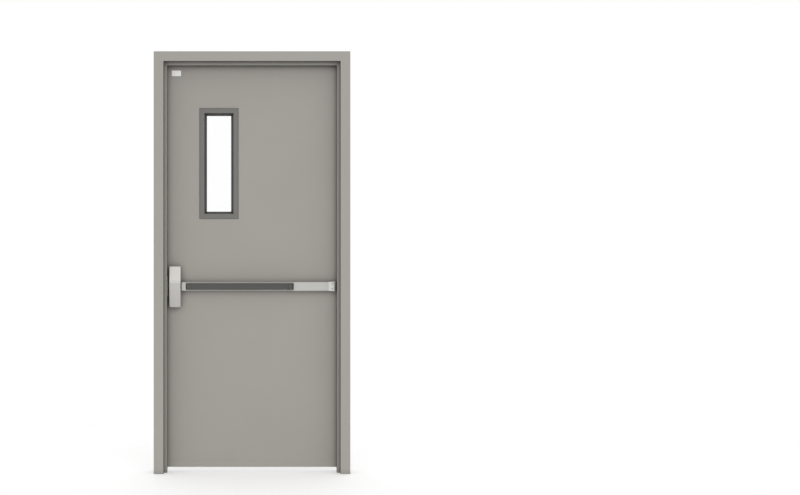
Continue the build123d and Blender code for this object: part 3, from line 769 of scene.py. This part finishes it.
class FIREDOOR_OT_frame(bpy.types.Operator):
    """Paints the frame and finishes its clips, anchors, stiffeners and strike"""
    bl_idname = "firedoor.frame"
    bl_label = "Frame"

    def execute(self, context):
        colours, sizes = door_settings(context)
        lows, highs = zip(*map(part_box, FRAME))
        low, high = Vector(map(min, *lows)), Vector(map(max, *highs))
        dress(FRAME, frame_paint("frame_paint", colours.frame_paint, sizes, low, high).material)
        zinc = galvanised("frame_zinc", colours.zinc_steel)
        dress(("hinge_jamb_floor_clip", "strike_jamb_floor_clip", "hinge_jamb_wall_anchors",
               "strike_jamb_wall_anchors", "hinge_reinforcements", "strike_reinforcement"), zinc)
        steel = brushed("strike_steel", colours.hinge_steel, (0, 0, 1))
        dress(("strike_plate",), steel)
        low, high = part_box("strike_plate")
        rows = (low.z + sizes.strike_screw_inset, high.z - sizes.strike_screw_inset)
        places = [(high.x, (low.y + high.y) / 2, z) for z in rows]
        head = screw_head(sizes.strike_screw, sizes.screw_crown)
        screws = surface("strike_screws", [placed(head, places, (1, 0, 0))], "frame")
        finish_piece(screws, steel)
        return {"FINISHED"}


class FIREDOOR_OT_hinges(bpy.types.Operator):
    """Finishes the hinge plates and pins and sets four screws in each plate"""
    bl_idname = "firedoor.hinges"
    bl_label = "Hinges"

    def execute(self, context):
        colours, sizes = door_settings(context)
        steel = brushed("hinge_steel", colours.hinge_steel, (0, 0, 1))
        turned = brushed("pin_steel", colours.hinge_steel, (1, 1, 0), 0.28)
        head = screw_head(sizes.hinge_screw, sizes.screw_crown)
        for place in HINGES:
            dress((f"hinge_frame_plate_{place}", f"hinge_leaf_plate_{place}"), steel)
            dress((f"hinge_pin_{place}",), turned)
        leaf_edge, leaf_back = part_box("leaf_push_skin")[1].x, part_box("leaf_pull_skin")[1].y
        for kind, outward in (("frame", -1), ("leaf", 1)):
            places = []
            for place in HINGES:
                low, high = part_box(f"hinge_{kind}_plate_{place}")
                face = low.x if kind == "frame" else leaf_edge
                places += [(face, low.y + across * (leaf_back - low.y), low.z + up * (high.z - low.z))
                           for up, across in HINGE_SCREWS]
            screws = surface(f"hinge_{kind}_screws", [placed(head, places, (outward, 0, 0))], kind)
            finish_piece(screws, steel)
        return {"FINISHED"}


class FIREDOOR_OT_leaf(bpy.types.Operator):
    """Paints the leaf and finishes its core, channels and stiffeners"""
    bl_idname = "firedoor.leaf"
    bl_label = "Leaf"

    def execute(self, context):
        colours, sizes = door_settings(context)
        leaf_paint = paint("leaf_paint", colours.leaf_paint, sizes, 0.9)
        dress(("leaf_push_skin", "leaf_pull_skin"), leaf_paint.material)
        zinc = galvanised("leaf_zinc", colours.zinc_steel)
        dress(("leaf_top_channel", "leaf_bottom_channel", "leaf_hinge_reinforcements"), zinc)
        dress(("leaf_core",), board("core_board", colours.core_board))
        return {"FINISHED"}


class FIREDOOR_OT_vision(bpy.types.Operator):
    """Paints the glazing frames and finishes the tapes, the glass and the screws"""
    bl_idname = "firedoor.vision"
    bl_label = "Vision panel"

    def execute(self, context):
        colours, sizes = door_settings(context)
        low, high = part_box("vision_frame_push")
        dark = glazing_paint("vision_paint", colours.vision_paint, colours.vision_slope, sizes, low, high)
        dress(("vision_frame_push", "vision_frame_pull"), dark)
        dress(("glazing_gasket_push", "glazing_gasket_pull"), tape("glazing_tape", colours.glazing_tape))
        dress(("vision_glass",), pane("fire_glass"))
        low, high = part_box("vision_frame_pull")
        inset = sizes.vision_screw_inset
        rows = np.linspace(low.z + sizes.vision_screw_end, high.z - sizes.vision_screw_end, VISION_SCREW_ROWS)
        places = [(x, high.y, z) for x in (low.x + inset, high.x - inset) for z in rows]
        places += [((low.x + high.x) / 2, high.y, z) for z in (low.z + inset, high.z - inset)]
        head = screw_head(sizes.vision_screw, sizes.screw_crown)
        screws = surface("vision_screws", [placed(head, places, (0, 1, 0))], "leaf")
        finish_piece(screws, brushed("screw_steel", colours.hinge_steel, (0, 0, 1)))
        return {"FINISHED"}


class FIREDOOR_OT_latch(bpy.types.Operator):
    """Finishes the latch case, its base plate, the bolt and the neck"""
    bl_idname = "firedoor.latch"
    bl_label = "Latch"

    def execute(self, context):
        colours, sizes = door_settings(context)
        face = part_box("leaf_push_skin")[0].y
        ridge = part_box("latch_case")[0].z + sizes.case_ridge
        finish_piece(self.case(face, sizes), metal_paint("case_paint", colours.case_paint, sizes, ridge),
                     ("latch_case",))
        finish_piece(self.neck(face, sizes), metal_paint("neck_paint", colours.neck_paint, sizes),
                     ("rail_neck",))
        dress(("latch_base_plate",), galvanised("base_zinc", colours.zinc_steel))
        dress(("latch_bolt",), nickel("bolt_nickel", colours.bolt_plate))
        return {"FINISHED"}

    def case(self, face, sizes):
        """Latch case: foot, swelling face, ridge, bevel over it, upper face and rounded ends.

        The side outline is carried across the case, its ends rounded over."""
        low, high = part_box("latch_case")
        deep, tall = face - low.y, high.z - low.z
        foot, knee, bevel, crown = (share * deep for share in (0.74, 0.965, 0.925, 0.68))
        corners = [(0, 0), (foot, 0), (knee, 0.44 * tall), (deep, sizes.case_ridge),
                   (bevel, sizes.case_ridge + sizes.case_bevel), (crown, tall), (0, tall)]
        radii = [0.004, 0.006, 0.06, 0.003, 0.004, 0.006, 0.004]
        bar = rounded_bar(Outline(corners, radii), low.x, high.x, sizes.case_edge, sizes.case_edge)
        return surface("case_cover", [on_leaf(bar, face, low.z)], "leaf", sharp=50.0)

    def neck(self, face, sizes):
        """Neck in two steps: a smaller collar at the case and a block as tall as the rail."""
        low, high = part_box("rail_neck")
        case_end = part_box("latch_case")[1].x
        deep, tall = face - low.y, high.z - low.z
        step = case_end + sizes.neck_collar
        less, out = 0.08 * tall, 0.8 * deep
        collar = [(0, less), (out, less), (out, tall - less), (0, tall - less)]
        block = [(0, 0), (deep, 0), (deep, tall), (0, tall)]
        small = rounded_bar(Outline(collar, [0.002] * 4), low.x + 0.0002, step + 0.004, 0.0008, 0.0008)
        large = rounded_bar(Outline(block, [0.0035] * 4), step, high.x, 0.002, 0.0015)
        bars = [on_leaf(bar, face, low.z) for bar in (small, large)]
        return surface("neck_cover", bars, "leaf", sharp=50.0)


class FIREDOOR_OT_bar(bpy.types.Operator):
    """Finishes the rail, its cover, the end cap, the pad and what is inside"""
    bl_idname = "firedoor.bar"
    bl_label = "Push bar"

    def execute(self, context):
        colours, sizes = door_settings(context)
        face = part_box("leaf_push_skin")[0].y
        dress(("rail",), brushed("rail_metal", colours.rail_metal, (1, 0, 0), 0.42, 0.6))
        cover = metal_paint("cover_paint", colours.cover_paint, sizes)
        finish_piece(self.cover(face, sizes), cover, ("rail_cover",))
        cap_paint = metal_paint("cap_paint", colours.cap_paint, sizes)
        finish_piece(self.cap(face, sizes), cap_paint, ("end_cap",))
        # Painted shade: near-black screws standing for the shade in their recesses.
        finish_piece(self.cap_screws(sizes), nickel("screw_black", colours.black_screw))
        plastic = moulded("pad_plastic", colours.pad_plastic)
        finish_piece(self.pad(face, sizes), plastic, ("push_pad",))
        dress(("pad_carrier", "end_bracket", "pad_guide_posts"), galvanised("bar_zinc", colours.zinc_steel))
        return {"FINISHED"}

    def cover(self, face, sizes):
        """Snap-on cover: a shallow box with well-rounded front edges carried along the rail."""
        low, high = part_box("rail_cover")
        back, front, tall = face - high.y, face - low.y, high.z - low.z
        corners = [(back, 0), (front, 0), (front, tall), (back, tall)]
        fine, edge, seam = sizes.fine_edge, sizes.cover_edge, sizes.cover_seam
        outline = Outline(corners, [fine, edge, edge, fine])
        bar = rounded_bar(outline, low.x + seam / 2, high.x - seam, fine, seam)
        return surface("cover_shell", [on_leaf(bar, face, low.z)], "leaf", sharp=50.0)

    def cap(self, face, sizes):
        """End cap that flares in height towards its end, where its front falls away.

        With a from 0 to 1 along the cap, its height grows in a straight line with a, and its depth is
        1 - drop x ((a - level) / (1 - level))^2 of the whole once a is past `level`."""
        low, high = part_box("end_cap")
        cover_low, cover_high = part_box("rail_cover")
        deep = face - low.y - 2 * sizes.screw_crown
        middle = (cover_low.z + cover_high.z) / 2
        flare = (high.z - low.z) / 2
        start = (cover_high.z - cover_low.z) / 2
        level, drop = 0.66, 0.2

        def taper(x):
            along = np.clip((x - low.x) / (high.x - low.x), 0, 1)
            fall = np.clip((along - level) / (1 - level), 0, 1)
            return np.stack([1 - drop * fall ** 2, (start + (flare - start) * along) / flare], axis=1)

        corners = [(0, -flare), (deep, -flare), (deep, flare), (0, flare)]
        back, front, fine = 0.001, sizes.cover_edge, sizes.fine_edge
        outline = Outline(corners, [back, front, front, back])
        bar = rounded_bar(outline, low.x + fine / 2, high.x, fine, sizes.cap_end_edge, taper)
        return surface("cap_shell", [on_leaf(bar, face, middle)], "leaf", sharp=50.0)

    def cap_screws(self, sizes):
        """Two screws in the front of the end cap, their crowns level with the node's front."""
        low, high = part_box("end_cap")
        x = low.x + 0.54 * (high.x - low.x)
        middle = (low.z + high.z) / 2
        rows = (middle + sizes.cap_screw_above, middle - sizes.cap_screw_below)
        places = [(x, low.y + sizes.screw_crown, z) for z in rows]
        head = screw_head(sizes.cap_screw, sizes.screw_crown)
        return surface("cap_screws", [placed(head, places, (0, -1, 0))], "leaf")

    def pad(self, face, sizes):
        """Touch pad: a broad face with rounded edges over the two walls of a narrower body.

        All are outlines carried along X; the face is three lengths with a fine gap between them."""
        low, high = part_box("push_pad")
        back, front, tall = face - high.y, face - low.y, high.z - low.z
        under = front - sizes.pad_flange
        edge, small, overlap = sizes.pad_edge, 0.0004, 0.001
        broad = Outline([(under, 0), (front, 0), (front, tall), (under, tall)], [small, edge, edge, small])
        joint, wall = sizes.pad_joint_edge, sizes.pad_wall
        starts = (low.x, low.x + sizes.pad_end + sizes.pad_joint, high.x - sizes.pad_end + sizes.pad_joint)
        ends = (low.x + sizes.pad_end, high.x - sizes.pad_end, high.x)
        bars = [rounded_bar(broad, start, end, joint, joint) for start, end in zip(starts, ends)]
        for foot in (sizes.pad_lip, tall - sizes.pad_lip - wall):
            head, top = foot + wall, under + overlap
            side = Outline([(back, foot), (top, foot), (top, head), (back, head)], [sizes.fine_edge] * 4)
            bars.append(rounded_bar(side, low.x + overlap, high.x - overlap, 0.0005, 0.0005))
        return surface("pad_face", [on_leaf(bar, face, low.z) for bar in bars], "push_pad", sharp=50.0)


class FIREDOOR_OT_bolt_caps(bpy.types.Operator):
    """Makes the domed caps of the through-bolts on the pull side"""
    bl_idname = "firedoor.bolt_caps"
    bl_label = "Through-bolt caps"

    def execute(self, context):
        colours, sizes = door_settings(context)
        low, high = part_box("through_bolt_caps")
        rail_low, rail_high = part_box("rail")
        radius, rise, half = sizes.bolt_cap, high.y - low.y, sizes.end_bolt_spacing / 2
        height = (rail_low.z + rail_high.z) / 2
        places = [(low.x + radius, low.y, z) for z in (low.z + radius, high.z - radius)]
        places += [(high.x - radius, low.y, z) for z in (height - half, height + half)]
        cap = dome_cap(radius * 0.96, rise * 0.98, sizes.bolt_cap_slot)
        piece = surface("domed_caps", [placed(cap, places, (0, 1, 0))], "leaf")
        steel = brushed("cap_steel", colours.hinge_steel, (0, 0, 1))
        finish_piece(piece, steel, ("through_bolt_caps",))
        return {"FINISHED"}


class FIREDOOR_OT_label(bpy.types.Operator):
    """Puts the blank label on the leaf's top corner"""
    bl_idname = "firedoor.label"
    bl_label = "Blank label"

    def execute(self, context):
        colours, sizes = door_settings(context)
        low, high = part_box("leaf_push_skin")
        centre = (low.x + sizes.label_from_edge, low.y, high.z - sizes.label_from_top)
        piece = surface("blank_label", [self.plate(centre, sizes)], "leaf")
        finish_piece(piece, foil("label_foil", colours.label_foil))
        return {"FINISHED"}

    def plate(self, centre, sizes):
        """Thin plate with rounded corners.

        Rings of a rounded rectangle: the corner arcs' points, scaled to the middle ring by ring; the
        outermost ring drops back to the leaf."""
        corner = sizes.label_corner
        half_w, half_h = sizes.label_width / 2 - corner, sizes.label_height / 2 - corner
        turn = np.linspace(0, 2 * math.pi, 40, endpoint=False) + 0.001
        x = np.sign(np.cos(turn)) * half_w + corner * np.cos(turn)
        z = np.sign(np.sin(turn)) * half_h + corner * np.sin(turn)
        share = np.array([0.0, 0.5, 0.99, 1.0, 1.0])[:, None]
        rise = np.array([1.0, 1.0, 1.0, 0.7, 0.0])[:, None] * sizes.label_sheet
        grid = [centre[0] + share * x, centre[1] - rise + 0 * x, centre[2] + share * z]
        return np.stack(np.broadcast_arrays(*grid), axis=-1)


class FIREDOOR_PT_panel(bpy.types.Panel):
    """Lists the steps that dress the door"""
    bl_idname = "FIREDOOR_PT_panel"
    bl_label = "Steel fire door"
    bl_space_type = "VIEW_3D"
    bl_region_type = "UI"
    bl_category = PANEL_TAB

    def draw(self, context):
        for step in STEPS:
            self.layout.operator(step.bl_idname)
        for group in (getattr(context.scene, name) for name in GROUPS):
            box = self.layout.box()
            for name in group.bl_rna.properties.keys():
                if name not in ("rna_type", "name"):
                    box.prop(group, name)


STEPS = (FIREDOOR_OT_stage, FIREDOOR_OT_frame, FIREDOOR_OT_hinges, FIREDOOR_OT_leaf, FIREDOOR_OT_vision,
         FIREDOOR_OT_latch, FIREDOOR_OT_bar, FIREDOOR_OT_bolt_caps, FIREDOOR_OT_label)
GROUPS = {
    "firedoor_colours": FireDoorColours,
    "firedoor_sizes": FireDoorSizes,
    "firedoor_stage": FireDoorStage,
}


def register():
    for group in GROUPS.values():
        bpy.utils.register_class(group)
    for name, group in GROUPS.items():
        setattr(bpy.types.Scene, name, PointerProperty(type=group))
    for step in (*STEPS, FIREDOOR_PT_panel):
        bpy.utils.register_class(step)


def unregister():
    for step in reversed((*STEPS, FIREDOOR_PT_panel)):
        bpy.utils.unregister_class(step)
    for name in GROUPS:
        delattr(bpy.types.Scene, name)
    for group in reversed(GROUPS.values()):
        bpy.utils.unregister_class(group)


def main():
    register()
    for step in STEPS:
        area, call = step.bl_idname.split(".")
        getattr(getattr(bpy.ops, area), call)()


if __name__ == "__main__":
    main()
